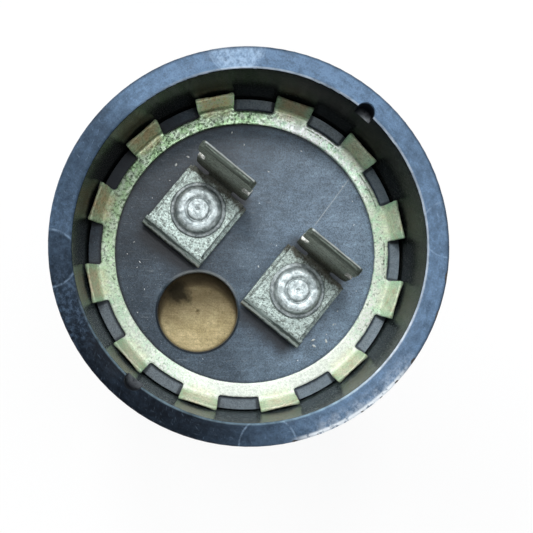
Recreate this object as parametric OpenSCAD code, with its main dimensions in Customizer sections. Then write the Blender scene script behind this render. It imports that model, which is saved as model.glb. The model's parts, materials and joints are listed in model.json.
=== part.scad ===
// Motor start capacitor: a round moulded case that is open at the top, where a sealed deck
// carries two riveted push-on terminals and a vent, held down by a toothed retaining ring.
// Millimetres, +Z up. The base stands on z = 0 about the Z axis, X runs through both rivets,
// the terminal blades stand on the +Y side and the vent is on the -Y side.

/* [Case] */
// Outer diameter of the case
case_d = 36.5; // [34:0.5:60]
// Height of the case from base to rim
case_h = 70; // [55:1:120]
// Thickness of the wall at the rim
rim_wall = 2.1; // [1.5:0.1:3]
// Width of the ledge inside the case that carries the deck
ledge_w = 1.2; // [0.8:0.1:2]
// Thickness of the case floor
floor_t = 2.5; // [1.5:0.1:5]
// Depth of the deck below the rim
recess_depth = 10.7; // [9:0.1:20]
// Rounding of both edges of the rim
rim_round = 0.25; // [0.1:0.05:0.6]
// Rounding of the bottom edge
base_round = 1.5; // [0.5:0.1:3]
// Radius of the two half-round notches in the rim
rim_notch_r = 0.9; // [0.5:0.1:1.4]
// Depth of those notches below the rim
rim_notch_depth = 2.2; // [1:0.1:5]
// Diameter of the four ejector pin marks on the rim
pin_mark_d = 5.2; // [3:0.1:7]
// Depth of the ejector pin marks
pin_mark_sink = 0.06; // [0.02:0.01:0.2]
// Turn of the notches and marks from the line of the terminals, in degrees
case_turn = -1.5; // [-10:0.5:10]

/* [Deck and vent] */
// Thickness of the deck
deck_t = 2.2; // [1.5:0.1:4]
// Gap between the deck and the wall around it
deck_gap = 0.2; // [0.05:0.05:0.4]
// Thickness of the sealing gasket between deck and ledge
gasket_t = 0.8; // [0.4:0.1:2]
// Diameter of the vent hole
vent_d = 8.2; // [5:0.1:9]
// Distance of the vent from the axis
vent_offset = 7.8; // [7:0.1:9]
// Bevel around the vent hole
vent_bevel = 0.2; // [0.1:0.05:0.4]
// Width by which the vent disc laps the deck around the hole
vent_lap = 1.3; // [0.8:0.1:1.4]
// Thickness of the vent disc
vent_disc_t = 0.8; // [0.4:0.1:1.5]
// Diameter of the prick mark in the middle of the vent disc
prick_d = 0.6; // [0.3:0.1:1]
// Depth of the prick mark
prick_depth = 0.25; // [0.1:0.05:0.35]

/* [Retaining ring] */
// Thickness of the ring's sheet
ring_t = 0.45; // [0.3:0.05:0.8]
// Width of the ring's flat band
ring_band_w = 1.5; // [1:0.05:3]
// Number of tabs around the ring
tab_count = 12; // [8:1:16]
// Width of one tab, in degrees
tab_span = 14.3; // [8:0.1:18]
// Depth of the slots between the tabs past the bend, into the band
slot_relief = 0.1; // [0.05:0.05:0.5]
// Radius of the round relief at each inner corner of a slot
slot_corner_r = 0.2; // [0.1:0.05:0.3]
// Angle at which the tabs rise from the band
tab_rise = 73; // [50:1:78]
// Length of the straight part of a tab
tab_len = 2.1; // [1.4:0.05:3]
// Inside radius of the bend between band and tab
tab_bend_r = 0.3; // [0.15:0.05:0.6]
// Radius of the hollow in a tab's tip
tip_hollow_r = 18; // [8:0.5:30]
// Depth of the hollow in a tab's tip
tip_hollow = 0.2; // [0.15:0.05:0.35]
// Gap between the tips and the wall that they brace against
tip_gap = 0.03; // [0.02:0.01:0.1]
// Angle of the first tab from the line of the terminals
ring_turn = 21; // [0:1:30]

/* [Terminals] */
// Distance between the two rivets
rivet_pitch = 12.8; // [11:0.1:13.5]
// Distance of the rivets from the X axis
rivet_offset = 0.1; // [0:0.1:1]
// Thickness of the terminals' sheet
sheet_t = 0.8; // [0.6:0.05:1]
// Width of the push-on blade
blade_w = 6.35; // [4.75:0.05:7]
// Length of the straight part of the blade
blade_len = 7.2; // [6.5:0.1:9]
// Width of the upper leaf under the rivet head
upper_leaf_w = 6.5; // [5.8:0.1:8]
// Distance by which the lower leaf and the fold stand out beside the upper leaf
leaf_lip = 0.4; // [0.1:0.05:0.6]
// Reach of the leaves from the rivet to the blade's side
leaf_reach = 3.3; // [3:0.1:4]
// Reach of the fold from the rivet
fold_reach = 4.55; // [4.5:0.05:5.5]
// Gap between the two leaves
fold_gap = 0.4; // [0.2:0.05:0.8]
// Inside radius of the bend below the blade
blade_bend_r = 0.5; // [0.3:0.05:0.8]
// Width of the neck that joins leaf and blade
neck_w = 3; // [2:0.1:4.5]
// Height of the slits beside the neck
slit_h = 0.5; // [0.3:0.05:1.2]
// Rounding of the blade's lower corners
blade_foot_r = 0.8; // [0.3:0.1:1.2]
// Height of the side notches above the upper leaf
side_notch_z = 3.7; // [3:0.1:4.2]
// Height of a side notch
side_notch_h = 1.5; // [0.8:0.1:2]
// Depth of a side notch
side_notch_depth = 0.85; // [0.4:0.05:1]
// Chamfer of the blade's top corners
blade_chamfer = 0.6; // [0.3:0.05:1]
// Bevel of the blade's top edge
blade_bevel = 0.3; // [0.1:0.05:0.3]
// Lean of the blades away from upright, in degrees
blade_lean = 3.5; // [0:0.5:12]

/* [Rivets] */
// Diameter of the flange of the rivet head
head_d = 5.6; // [5:0.1:5.8]
// Thickness of the flange
flange_t = 0.25; // [0.15:0.05:0.4]
// Diameter of the raised dome of the head
dome_d = 4.7; // [4.2:0.1:4.9]
// Height of the head
head_h = 0.95; // [0.8:0.05:1.4]
// Rounding of the dome's shoulder
dome_round = 0.65; // [0.3:0.05:0.7]
// Diameter of the button in the middle of the head
button_d = 2.2; // [1.6:0.1:2.8]
// Height of the button above the crown
button_h = 0.1; // [0.05:0.05:0.4]
// Depth of the groove around the button
groove_depth = 0.2; // [0.1:0.05:0.3]
// Diameter of the punch mark in the middle of the button
punch_d = 0.3; // [0.2:0.1:1]
// Diameter of the rivet shank
shank_d = 2.5; // [2:0.1:3]
// Gap around the shank in the holes
shank_gap = 0.05; // [0.02:0.01:0.15]
// Diameter of the clinched end under the deck
clinch_d = 4; // [3.4:0.1:4.6]
// Height of the clinched end
clinch_h = 0.8; // [0.5:0.1:1.5]
// Diameter of the washer under the deck
washer_d = 5.2; // [4.8:0.1:5.6]
// Thickness of the washer
washer_t = 0.5; // [0.3:0.05:1]

/* [Winding] */
// Room between the deck and the winding
head_room = 9; // [6:0.5:15]
// Gap between the wrapped winding and the case
winding_gap = 0.4; // [0.2:0.05:1]
// Thickness of the tape around the winding
tape_t = 0.2; // [0.1:0.05:0.5]
// Length of bare winding at each end of the tape
tape_margin = 5; // [1:0.5:12]
// Diameter of the hole that the mandrel leaves in the winding
mandrel_d = 4; // [2:0.5:8]
// Thickness of the pad under the winding
pad_t = 1.2; // [0.5:0.1:3]
// Thickness of the insulating disc on the winding
insulator_t = 0.5; // [0.3:0.1:1.5]
// Gap around the insulating disc, in its slots and around the pad
insulator_gap = 0.2; // [0.1:0.05:0.5]
// Width of the lead strips
lead_w = 5; // [4:0.1:5.6]
// Thickness of the lead strips
lead_t = 0.25; // [0.15:0.05:0.4]
// Reach of a lead from the rivet to its bend
lead_reach = 3.4; // [2.9:0.1:4.5]
// Inside radius of the bend in a lead
lead_bend_r = 0.5; // [0.3:0.1:1]

/* [Hidden] */
$fn = 96;

// Margin by which a cutter passes the faces that it opens
over = 1;

// Radii about the axis
case_r = case_d / 2;
mouth_r = case_r - rim_wall;
cavity_r = mouth_r - ledge_w;
winding_r = cavity_r - winding_gap - tape_t;

// Levels from the base up
pad_top = floor_t + pad_t;
deck_top = case_h - recess_depth;
deck_bottom = deck_top - deck_t;
ledge_z = deck_bottom - gasket_t;
washer_bottom = deck_bottom - washer_t;
lead_bottom = washer_bottom - lead_t;
winding_top = deck_bottom - head_room;

// Heights above the deck in a terminal
fold_r = sheet_t + fold_gap / 2;
upper_leaf_z = sheet_t + fold_gap;
leaf_top = upper_leaf_z + sheet_t;

// Retaining ring, measured inwards from the wall
ring_bend_out = tab_bend_r + ring_t;
tab_run = ring_bend_out * sin(tab_rise) + tab_len * cos(tab_rise);
tip_r = mouth_r - tip_gap;
bend_line_r = tip_r - tab_run;
ring_r = bend_line_r - ring_band_w;

shank_hole_r = shank_d / 2 + shank_gap;
pin_mark_count = 4;

// Profile helpers

// Part of a flat ring, from angle a0 to angle a1, at most half a turn
module arc_band(inner, outer, a0, a1) {
    mid = (a0 + a1) / 2;
    far = outer / cos((a1 - a0) / 4) + over;
    difference() {
        intersection() {
            circle(outer);
            polygon([
                [0, 0],
                far * [cos(a0), sin(a0)],
                far * [cos((a0 + mid) / 2), sin((a0 + mid) / 2)],
                far * [cos(mid), sin(mid)],
                far * [cos((mid + a1) / 2), sin((mid + a1) / 2)],
                far * [cos(a1), sin(a1)]
            ]);
        }
        circle(inner);
    }
}

// A strip that runs out along X and then bends up by an angle of at most 90 degrees
module bent_strip(flat, rise, leg, t, bend_r, bevel = 0) {
    outer_r = bend_r + t;
    difference() {
        union() {
            square([flat, outer_r]);
            translate([flat, outer_r]) {
                circle(outer_r);
                rotate(rise) translate([0, -outer_r])
                    polygon([[0, 0], [leg - bevel, 0], [leg, bevel], [leg, outer_r], [0, outer_r]]);
            }
        }
        // hollow side of the bend
        translate([-over, t]) square([flat + over, 2 * outer_r]);
        translate([flat, outer_r]) {
            circle(bend_r);
            rotate(rise) translate([0, -bend_r]) polygon([
                [0, 0], [leg - bevel, 0], [leg, -bevel], [leg + over, -bevel],
                [leg + over, 2 * outer_r], [0, 2 * outer_r]
            ]);
        }
    }
}

// Extrudes a profile drawn in Y and Z along X, centred
module along_x(width) {
    rotate([90, 0, 90]) linear_extrude(width, center = true) children();
}

// Extrudes an outline drawn in X and Z along Y, from y0 to y1
module along_y(y0, y1) {
    translate([0, y1, 0]) rotate([90, 0, 0]) linear_extrude(y1 - y0) children();
}

// Places a piece at the left (-1) or right (1) rivet
module at_rivet(side) {
    translate([side * rivet_pitch / 2, rivet_offset, 0]) children();
}

// Flat ring on the axis, between two levels
module tube(outer, inner, z0, z1) {
    difference() {
        translate([0, 0, z0]) cylinder(r = outer, h = z1 - z0);
        translate([0, 0, z0 - over]) cylinder(r = inner, h = z1 - z0 + 2 * over);
    }
}

// Case

module case_profile() {
    // rim with both edges rounded
    translate([mouth_r, ledge_z]) square([rim_wall, case_h - rim_round - ledge_z]);
    translate([mouth_r + rim_round, case_h - 2 * rim_round])
        square([rim_wall - 2 * rim_round, 2 * rim_round]);
    translate([mouth_r + rim_round, case_h - rim_round]) circle(rim_round);
    translate([case_r - rim_round, case_h - rim_round]) circle(rim_round);
    // thicker wall below the ledge
    translate([cavity_r, base_round]) square([case_r - cavity_r, ledge_z - base_round]);
    // floor with a rounded edge
    square([case_r - base_round, floor_t]);
    translate([case_r - base_round, base_round]) circle(base_round);
}

module case() {
    color([0.16, 0.18, 0.22]) difference() {
        rotate_extrude() case_profile();
        rotate(case_turn) {
            for (side = [-1, 1])
                translate([0, side * mouth_r, case_h - rim_notch_depth])
                    cylinder(r = rim_notch_r, h = rim_notch_depth + over);
            for (i = [0 : pin_mark_count - 1])
                rotate((i + 0.5) * 360 / pin_mark_count)
                    translate([case_r, 0, case_h - pin_mark_sink]) cylinder(d = pin_mark_d, h = over);
        }
    }
}

// Deck, seal and vent

module cover_gasket() {
    color([0.12, 0.12, 0.12]) tube(mouth_r - deck_gap, cavity_r, ledge_z, deck_bottom);
}

module terminal_deck() {
    color([0.3, 0.32, 0.38]) difference() {
        translate([0, 0, deck_bottom]) cylinder(r = mouth_r - deck_gap, h = deck_t);
        translate([0, -vent_offset, deck_bottom - over]) cylinder(d = vent_d, h = deck_t + 2 * over);
        translate([0, -vent_offset, deck_top - vent_bevel])
            cylinder(r1 = vent_d / 2, r2 = vent_d / 2 + vent_bevel + over, h = vent_bevel + over);
        for (side = [-1, 1])
            at_rivet(side) translate([0, 0, deck_bottom - over])
                cylinder(r = shank_hole_r, h = deck_t + 2 * over);
    }
}

module vent_disc() {
    color([0.75, 0.63, 0.42]) translate([0, -vent_offset, deck_bottom - vent_disc_t]) difference() {
        cylinder(r = vent_d / 2 + vent_lap, h = vent_disc_t);
        translate([0, 0, vent_disc_t - prick_depth]) cylinder(r1 = 0, r2 = prick_d / 2, h = prick_depth);
    }
}

// Retaining ring

module retaining_ring() {
    slot_span = 360 / tab_count - tab_span;
    slot_r = bend_line_r - slot_relief;
    slot_far = tip_r + over;
    hollow_at = tip_r - tip_hollow + tip_hollow_r;
    cut_h = ring_bend_out + tab_len + 2 * over;
    color([0.74, 0.78, 0.55]) translate([0, 0, deck_top]) difference() {
        rotate_extrude() translate([ring_r, 0])
            bent_strip(ring_band_w, tab_rise, tab_len, ring_t, tab_bend_r);
        for (i = [0 : tab_count - 1]) rotate(ring_turn + i * 360 / tab_count) {
            // slot between this tab and the next, with a round relief at its inner corners
            rotate(180 / tab_count) translate([0, 0, -over]) linear_extrude(cut_h) {
                arc_band(slot_r, slot_far, -slot_span / 2, slot_span / 2);
                for (side = [-1, 1])
                    rotate(side * slot_span / 2) translate([slot_r, 0]) circle(slot_corner_r);
            }
            // hollow in the tip
            translate([hollow_at, 0, -over]) cylinder(r = tip_hollow_r, h = cut_h);
        }
    }
}

// Terminals

// Front outline of the neck and blade, up to the blade's top
module blade_outline(top) {
    half = blade_w / 2;
    foot = leaf_top + slit_h;
    translate([-neck_w / 2, 0]) square([neck_w, foot + blade_foot_r]);
    difference() {
        union() {
            polygon([
                [-half, foot + blade_foot_r], [half, foot + blade_foot_r],
                [half, top - blade_chamfer], [half - blade_chamfer, top],
                [blade_chamfer - half, top], [-half, top - blade_chamfer]
            ]);
            translate([blade_foot_r - half, foot]) square([blade_w - 2 * blade_foot_r, 2 * blade_foot_r]);
            for (side = [-1, 1])
                translate([side * (half - blade_foot_r), foot + blade_foot_r]) circle(blade_foot_r);
        }
        for (side = [-1, 1])
            translate([side * half - side_notch_depth, leaf_top + side_notch_z])
                square([2 * side_notch_depth, side_notch_h]);
    }
}

// One folded strip: lower leaf, fold, upper leaf, neck and upright blade
module terminal(side) {
    bend_y = leaf_reach - blade_bend_r / 2;
    fold_y = fold_r - fold_reach;
    leaf_l = leaf_reach - fold_y;
    rise = 90 - blade_lean;
    blade_top = leaf_top + blade_bend_r * (1 - cos(rise)) + blade_len * sin(rise);
    color([0.75, 0.79, 0.76]) at_rivet(side) translate([0, 0, deck_top]) difference() {
        union() {
            difference() {
                along_x(upper_leaf_w + 2 * leaf_lip) translate([fold_y, 0]) difference() {
                    union() {
                        translate([0, fold_r]) circle(fold_r);
                        square([leaf_l, leaf_top]);
                    }
                    translate([0, fold_r]) circle(fold_gap / 2);
                    translate([0, sheet_t]) square([leaf_l + over, fold_gap]);
                }
                // the upper leaf is narrower than the fold and the lower leaf
                for (side = [-1, 1])
                    translate([side * (upper_leaf_w / 2 + over) - over, fold_y, sheet_t + fold_gap / 2])
                        cube([2 * over, leaf_l + over, leaf_top]);
            }
            intersection() {
                along_x(blade_w) translate([0, upper_leaf_z])
                    bent_strip(bend_y, rise, blade_len, sheet_t, blade_bend_r, blade_bevel);
                along_y(-over, leaf_reach + blade_len) blade_outline(blade_top);
            }
        }
        translate([0, 0, -over]) cylinder(r = shank_hole_r, h = leaf_top + 2 * over);
    }
}

module terminal_left() { terminal(-1); }
module terminal_right() { terminal(1); }

// Rivets, washers and leads

module rivet_profile() {
    dome_r = dome_d / 2;
    seat = deck_top + leaf_top;
    difference() {
        translate([0, seat]) union() {
            square([head_d / 2, flange_t]);
            difference() {
                // dome with a rounded shoulder
                union() {
                    square([dome_r - dome_round, head_h]);
                    square([dome_r, head_h - dome_round]);
                    translate([dome_r - dome_round, head_h - dome_round]) circle(dome_round);
                }
                translate([button_d / 2, head_h - groove_depth]) square([groove_depth, 2 * groove_depth]);
            }
            square([button_d / 2, head_h + button_h]);
        }
        translate([0, seat + head_h + button_h]) circle(d = punch_d);
    }
    translate([0, lead_bottom - clinch_h]) square([shank_d / 2, seat - lead_bottom + clinch_h]);
    // clinched end with a rounded lower edge
    translate([0, lead_bottom - clinch_h / 2]) square([clinch_d / 2, clinch_h / 2]);
    translate([0, lead_bottom - clinch_h]) square([clinch_d / 2 - clinch_h / 2, clinch_h]);
    translate([clinch_d / 2 - clinch_h / 2, lead_bottom - clinch_h / 2]) circle(clinch_h / 2);
}

module rivet(side) {
    color([0.84, 0.87, 0.87]) at_rivet(side) rotate_extrude() intersection() {
        rivet_profile();
        square([head_d, case_h]);
    }
}

module rivet_left() { rivet(-1); }
module rivet_right() { rivet(1); }

module washer(side) {
    color([0.7, 0.72, 0.74]) at_rivet(side) tube(washer_d / 2, shank_hole_r, washer_bottom, deck_bottom);
}

module washer_left() { washer(-1); }
module washer_right() { washer(1); }

// A strip from the rivet out towards +Y and then down to the winding
module lead(side) {
    drop = lead_bottom - lead_bend_r - winding_top;
    color([0.82, 0.83, 0.84]) at_rivet(side) difference() {
        translate([0, 0, washer_bottom]) along_x(lead_w) mirror([0, 1]) translate([-lead_w / 2, 0])
            bent_strip(lead_w / 2 + lead_reach, 90, drop, lead_t, lead_bend_r);
        translate([0, 0, lead_bottom - over]) cylinder(r = shank_hole_r, h = lead_t + 2 * over);
    }
}

module lead_left() { lead(-1); }
module lead_right() { lead(1); }

// Winding

module winding() {
    color([0.8, 0.76, 0.66]) tube(winding_r, mandrel_d / 2, pad_top, winding_top);
}

module winding_tape() {
    color([0.85, 0.78, 0.55])
        tube(winding_r + tape_t, winding_r, pad_top + tape_margin, winding_top - tape_margin);
}

module bottom_pad() {
    color([0.62, 0.52, 0.38]) translate([0, 0, floor_t]) cylinder(r = cavity_r - insulator_gap, h = pad_t);
}

module top_insulator() {
    lead_y = lead_reach + lead_bend_r + lead_t / 2;
    slot = [lead_w + 2 * insulator_gap, lead_t + 2 * insulator_gap, insulator_t + 2 * over];
    color([0.7, 0.58, 0.4]) difference() {
        translate([0, 0, winding_top]) cylinder(r = cavity_r - insulator_gap, h = insulator_t);
        for (side = [-1, 1])
            at_rivet(side) translate([0, lead_y, winding_top + insulator_t / 2]) cube(slot, center = true);
    }
}

case();
cover_gasket();
terminal_deck();
vent_disc();
retaining_ring();
terminal_left();
terminal_right();
rivet_left();
rivet_right();
washer_left();
washer_right();
lead_left();
lead_right();
top_insulator();
winding();
winding_tape();
bottom_pad();
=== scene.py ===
import json
import math
import random

import bmesh
import bpy
from mathutils import Matrix, Vector, noise


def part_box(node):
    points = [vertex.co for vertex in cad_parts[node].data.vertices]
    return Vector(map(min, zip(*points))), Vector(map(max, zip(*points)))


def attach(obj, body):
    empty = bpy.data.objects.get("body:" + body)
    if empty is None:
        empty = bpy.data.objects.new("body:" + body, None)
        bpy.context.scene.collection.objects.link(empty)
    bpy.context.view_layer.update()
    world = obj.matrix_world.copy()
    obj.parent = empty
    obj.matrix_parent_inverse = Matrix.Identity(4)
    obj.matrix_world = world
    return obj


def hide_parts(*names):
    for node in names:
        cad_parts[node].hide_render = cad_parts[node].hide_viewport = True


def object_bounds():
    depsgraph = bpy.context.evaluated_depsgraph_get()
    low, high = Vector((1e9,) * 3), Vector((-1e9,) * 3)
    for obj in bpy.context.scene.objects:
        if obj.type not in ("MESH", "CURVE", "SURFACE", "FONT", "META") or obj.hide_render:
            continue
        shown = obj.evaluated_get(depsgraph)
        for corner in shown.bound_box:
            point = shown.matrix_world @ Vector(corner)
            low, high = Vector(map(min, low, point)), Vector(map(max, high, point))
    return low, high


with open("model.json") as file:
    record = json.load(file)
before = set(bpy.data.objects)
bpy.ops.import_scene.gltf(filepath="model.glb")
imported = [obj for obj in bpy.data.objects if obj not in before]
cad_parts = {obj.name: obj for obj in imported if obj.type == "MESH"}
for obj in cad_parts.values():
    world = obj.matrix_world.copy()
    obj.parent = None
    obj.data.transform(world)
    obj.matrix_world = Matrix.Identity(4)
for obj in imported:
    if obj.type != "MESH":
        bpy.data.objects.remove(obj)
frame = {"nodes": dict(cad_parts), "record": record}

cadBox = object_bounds()
nodes = frame["nodes"]
scene = bpy.context.scene
mm = 0.001
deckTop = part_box("terminal_deck")[1].z / mm
photoUp = 128.98  # direction of the picture's upper edge about the part's axis, in degrees
layout = {"rivetX": 6.4, "rivetY": 0.1, "ventAt": (0.0, -7.8), "ventRadius": 4.1}  # on the deck, in millimetres
print("frame loaded:", len(nodes), "nodes")


# Small helpers for node trees; a socket knows the tree that it is in

def treeOf(*items):
    return next(item.id_data for item in items if isinstance(item, bpy.types.NodeSocket))


def feed(socket, value):
    if isinstance(value, bpy.types.NodeSocket):
        socket.id_data.links.new(value, socket)
    elif value is not None:
        socket.default_value = value


def addNode(tree, kind, inputs=None, **settings):
    made = tree.nodes.new("ShaderNode" + kind)
    for name, value in settings.items():
        setattr(made, name, value)
    for name, value in (inputs or {}).items():
        feed(made.inputs[name], value)
    return made


def calc(operation, a, b=None, clamp=False):
    return addNode(treeOf(a, b), "Math", {0: a, 1: b}, operation=operation, use_clamp=clamp).outputs[0]


def plus(a, b):
    return calc("ADD", a, b)


def minus(a, b):
    return calc("SUBTRACT", a, b)


def times(*values):
    total = values[0]
    for value in values[1:]:
        total = calc("MULTIPLY", total, value)
    return total


def larger(a, b):
    return calc("MAXIMUM", a, b)


def absolute(value):
    return calc("ABSOLUTE", value)


def hypot(a, b):
    return calc("SQRT", plus(times(a, a), times(b, b)))


def combine(x, y, z):
    return addNode(treeOf(x, y, z), "CombineXYZ", {0: x, 1: y, 2: z}).outputs[0]


def vectorMath(operation, a, b):
    return addNode(treeOf(a, b), "VectorMath", {0: a, 1: b}, operation=operation).outputs


def between(value, low, high, outLow=0.0, outHigh=1.0):
    inputs = {"Value": value, "From Min": low, "From Max": high, "To Min": outLow, "To Max": outHigh}
    return addNode(treeOf(value), "MapRange", inputs, interpolation_type="SMOOTHSTEP").outputs[0]


# a mask turned into a value between two others
def span(mask, low, high):
    return between(mask, 0.0, 1.0, low, high)


def tint(factor, a, b, mode="MIX"):
    a, b = ((*item, 1.0) if isinstance(item, tuple) else item for item in (a, b))
    made = addNode(treeOf(factor, a, b), "Mix", {0: factor, 6: a, 7: b}, data_type="RGBA", blend_type=mode)
    return made.outputs[2]


# one colour over another, through all of the masks
def layer(under, over, *masks):
    return tint(times(*masks), under, over)


def level(colour, value):
    return tint(1.0, colour, value, "MULTIPLY")


def noiseAt(point, scale, detail, rough, twist=0.0):
    inputs = {"Vector": point, "Scale": scale, "Detail": detail, "Roughness": rough, "Distortion": twist}
    return addNode(treeOf(point), "TexNoise", inputs).outputs["Fac"]


# a value that strays by noise, so that the line it draws isn't straight
def stray(value, point, scale, detail, rough, amount):
    return plus(value, times(minus(noiseAt(point, scale, detail, rough), 0.5), amount))


# Directions in the picture

def pictureAngle(angle):
    return math.radians(photoUp - 90 + angle)


def outward(turn):
    return Vector((math.cos(turn), math.sin(turn), 0))


# Shared surface effects, each one node group

def makeGroup(name, inputs, build, outputs=("Mask",)):
    tree = bpy.data.node_groups.new(name, "ShaderNodeTree")
    for labels, end in ((inputs, "INPUT"), (outputs, "OUTPUT")):
        for label in labels:
            kind = "NodeSocketVector" if label == "Point" else "NodeSocketFloat"
            tree.interface.new_socket(label, in_out=end, socket_type=kind)
    given, out = tree.nodes.new("NodeGroupInput").outputs, tree.nodes.new("NodeGroupOutput").inputs
    for label, value in zip(outputs, build(tree, given)):
        feed(out[label], value)
    return tree


units = {"Turn": math.radians(1), "Reach": mm}  # patterns are in degrees and millimetres


# a group, and the function that places it in a material with a pattern: one number for each label
def makeEffect(name, reads, labels, build):
    group = makeGroup(name, reads + labels, build)

    def use(place, pattern):
        inputs = {label: place[label] for label in reads}
        for label, value in zip(labels, pattern):
            inputs[label] = value * units.get(label, 1.0)
        return addNode(treeOf(*inputs.values()), "Group", inputs, node_tree=group).outputs["Mask"]

    return use


# where a point is on the part: millimetres, radius, height, angle and how far it faces up
def buildPlace(tree, given):
    coords = addNode(tree, "TexCoord").outputs["Object"]
    point = addNode(tree, "VectorMath", {0: coords, "Scale": 1 / mm}, operation="SCALE").outputs[0]
    x, y, z = addNode(tree, "SeparateXYZ", {0: point}).outputs
    normal = addNode(tree, "NewGeometry").outputs["Normal"]
    up = addNode(tree, "SeparateXYZ", {0: normal}).outputs[2]
    return point, x, y, hypot(x, y), z, calc("DEGREES", calc("ARCTAN2", y, x)), up


# cloudy patches or fine specks, by scale and cut
def buildPatches(tree, given):
    value = noiseAt(given["Point"], given["Scale"], given["Detail"], given["Rough"])
    return [between(value, given["Low"], given["High"])]


# thin scratches that run one way across level faces
def buildScratches(tree, given):
    turned = addNode(tree, "VectorRotate", {"Vector": given["Point"], "Angle": given["Turn"]},
                     rotation_type="Z_AXIS").outputs[0]
    drawn = vectorMath("MULTIPLY", turned, combine(given["Along"], given["Across"], given["Along"]))[0]
    return [between(noiseAt(drawn, 1.0, 2.0, 0.5, 0.3), given["Low"], given["High"])]


# streaks that run around the part's axis, without a seam
def buildStreaks(tree, given):
    turn = [times(calc("DIVIDE", given[axis], given["Radius"]), given["Along"]) for axis in "XY"]
    spot = combine(*turn, times(given["Radius"], given["Across"]))
    return [between(noiseAt(spot, 1.0, 4.0, 0.6), given["Low"], given["High"])]


# worn edges, broken up by noise
def buildEdges(tree, given):
    rounded = addNode(tree, "Bevel", {"Radius": given["Reach"]}, samples=6).outputs[0]
    flat = addNode(tree, "NewGeometry").outputs["Normal"]
    turned = minus(1.0, vectorMath("DOT_PRODUCT", rounded, flat)["Value"])
    broken = between(noiseAt(given["Point"], given["Scale"], 3.0, 0.6), 0.35, 0.6)
    return [times(between(turned, given["Low"], given["High"]), broken)]


# painted shade that darkens corners and the ground under edges, where less light falls
def buildCornerShade(tree, given):
    clear = addNode(tree, "AmbientOcclusion", {"Distance": given["Reach"]}, samples=6).outputs["AO"]
    ragged = stray(clear, given["Point"], given["Scale"], 3.0, 0.6, 0.4)
    return [between(ragged, given["Low"], given["High"])]


# dust that has settled on faces that look up
def buildDust(tree, given):
    settled = between(noiseAt(given["Point"], given["Scale"], 5.0, 0.65), given["Low"], given["High"])
    return [times(settled, between(given["Up"], 0.2, 0.9))]


placeGroup = makeGroup("partPlace", (), buildPlace, ("Point", "X", "Y", "Radius", "Height", "Around", "Up"))
patches = makeEffect("noisePatches", ("Point",), ("Scale", "Low", "High", "Detail", "Rough"), buildPatches)
scratches = makeEffect("hairScratches", ("Point",), ("Turn", "Along", "Across", "Low", "High"), buildScratches)
streaks = makeEffect("ringStreaks", ("X", "Y", "Radius"), ("Along", "Across", "Low", "High"), buildStreaks)
edges = makeEffect("edgeWear", ("Point",), ("Reach", "Scale", "Low", "High"), buildEdges)
grimeAndShade = makeEffect("cornerShade", ("Point",), ("Reach", "Scale", "Low", "High"), buildCornerShade)
dustAndHighlight = makeEffect("settledDust", ("Point", "Up"), ("Scale", "Low", "High"), buildDust)
print("surface effects built")


# Places on the part, and what every material starts and ends with

# how far a point lies towards an angle of the picture, in millimetres
def towards(place, angle):
    x, y, _ = outward(pictureAngle(angle))
    return plus(times(place["X"], x), times(place["Y"], y))


# a mask by that distance: the angle, then what between takes
def reaching(place, side):
    angle, *limits = side
    return between(towards(place, angle), *limits)


# the same with the distance as a share of the radius, from -1 to 1
def facing(place, side):
    angle, low, high = side
    return between(calc("DIVIDE", towards(place, angle), place["Radius"]), low, high)


# a tone that differs near some angles of the picture, each given with its reach in degrees and its strength
def toneAround(place, tones):
    value = 1.0
    for angle, reach, strength in tones:
        near = facing(place, (angle, math.cos(math.radians(reach)), math.cos(math.radians(reach * 0.6))))
        value = times(span(near, 1.0, strength), value)
    return value


def distanceTo(place, x, y):
    return hypot(minus(place["X"], x), minus(place["Y"], y))


# angle from the nearest of some marks that are spaced evenly around the axis, in degrees
def fromNearest(place, turn, pitch):
    return minus(calc("MODULO", plus(place["Around"], 360.0 + pitch / 2 - turn), pitch), pitch / 2)


# a tone that goes from the left one of a pair to the right one
def pairTone(place, tones, halfGap=3.0):
    return between(place["X"], -halfGap, halfGap, *tones)


def startMaterial(name):
    material = bpy.data.materials.new(name)
    material.use_nodes = True
    tree = material.node_tree
    return material, tree.nodes["Principled BSDF"], addNode(tree, "Group", node_tree=placeGroup).outputs


# the shader's inputs, with a bump of some millimetres and the numbers that are the same all over
def dress(shader, colour, rough, height=None, depth=0.0, constants=None):
    feed(shader.inputs["Base Color"], colour)
    feed(shader.inputs["Roughness"], rough)
    if height is not None:
        bump = addNode(shader.id_data, "Bump", {"Height": height, "Distance": depth * mm, "Strength": 1.0})
        feed(shader.inputs["Normal"], bump.outputs[0])
    for name, value in (constants or {}).items():
        shader.inputs[name].default_value = value


# Pieces made from a solid of the part: one mesh, closed and in millimetres while it is worked on

def addObject(name, data):
    made = bpy.data.objects.new(name, data)
    scene.collection.objects.link(made)
    return made


def openMesh(mesh):
    work = bmesh.new()
    work.from_mesh(mesh)
    return work


def closeMesh(work, mesh):
    work.to_mesh(mesh)
    work.free()


def setMaterials(mesh, *materials):
    mesh.materials.clear()
    for material in materials:
        mesh.materials.append(material)


def copyOf(nodeName, pieceName):
    mesh = nodes[nodeName].data.copy()
    mesh.transform(Matrix.Scale(1 / mm, 4))
    work = openMesh(mesh)
    bmesh.ops.remove_doubles(work, verts=work.verts, dist=1e-4)
    closeMesh(work, mesh)
    return addObject(pieceName, mesh)


# fresh normals: edges steeper than the limit are hard, the rest soft
def shadeByAngle(mesh, limit):
    if "custom_normal" in mesh.attributes:
        mesh.attributes.remove(mesh.attributes["custom_normal"])
    work = openMesh(mesh)
    for face in work.faces:
        face.smooth = True
    for edge in work.edges:
        edge.smooth = edge.calc_face_angle(0.0) < math.radians(limit)
    closeMesh(work, mesh)


def applyModifiers(piece):
    graph = bpy.context.evaluated_depsgraph_get()
    mesh = bpy.data.meshes.new_from_object(piece.evaluated_get(graph))
    piece.modifiers.clear()
    piece.data = mesh
    return mesh


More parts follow.
